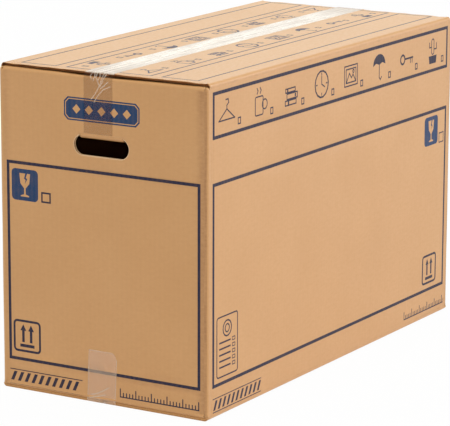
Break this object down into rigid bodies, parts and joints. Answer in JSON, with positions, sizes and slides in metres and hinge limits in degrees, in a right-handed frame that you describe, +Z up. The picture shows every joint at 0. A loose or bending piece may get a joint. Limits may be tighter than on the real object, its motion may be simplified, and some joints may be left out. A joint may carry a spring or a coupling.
{
  "type": "moving box",
  "caption": "Large corrugated carton for household goods, folded from one sheet, taped shut and lifted by hand holes in its short sides.",
  "frame": {"origin": "centre of the underside, on the floor the box stands on", "axes": "+Z up through the box, +Y along its length towards the far short panel, +X across the short panel, -Y is the short panel that faces the camera"},
  "size_m": [0.333, 0.7084, 0.4572],
  "materials": {
    "kraft_board": "matt brown kraft liner with dark blue print and corrugated raw edges",
    "clear_tape": "clear glossy packing tape with wrinkles and trapped air"
  },
  "bodies": {
    "root": {"carton": "kraft_board", "top_tape": "clear_tape", "bottom_tape": "clear_tape"}
  },
  "joints": []
}
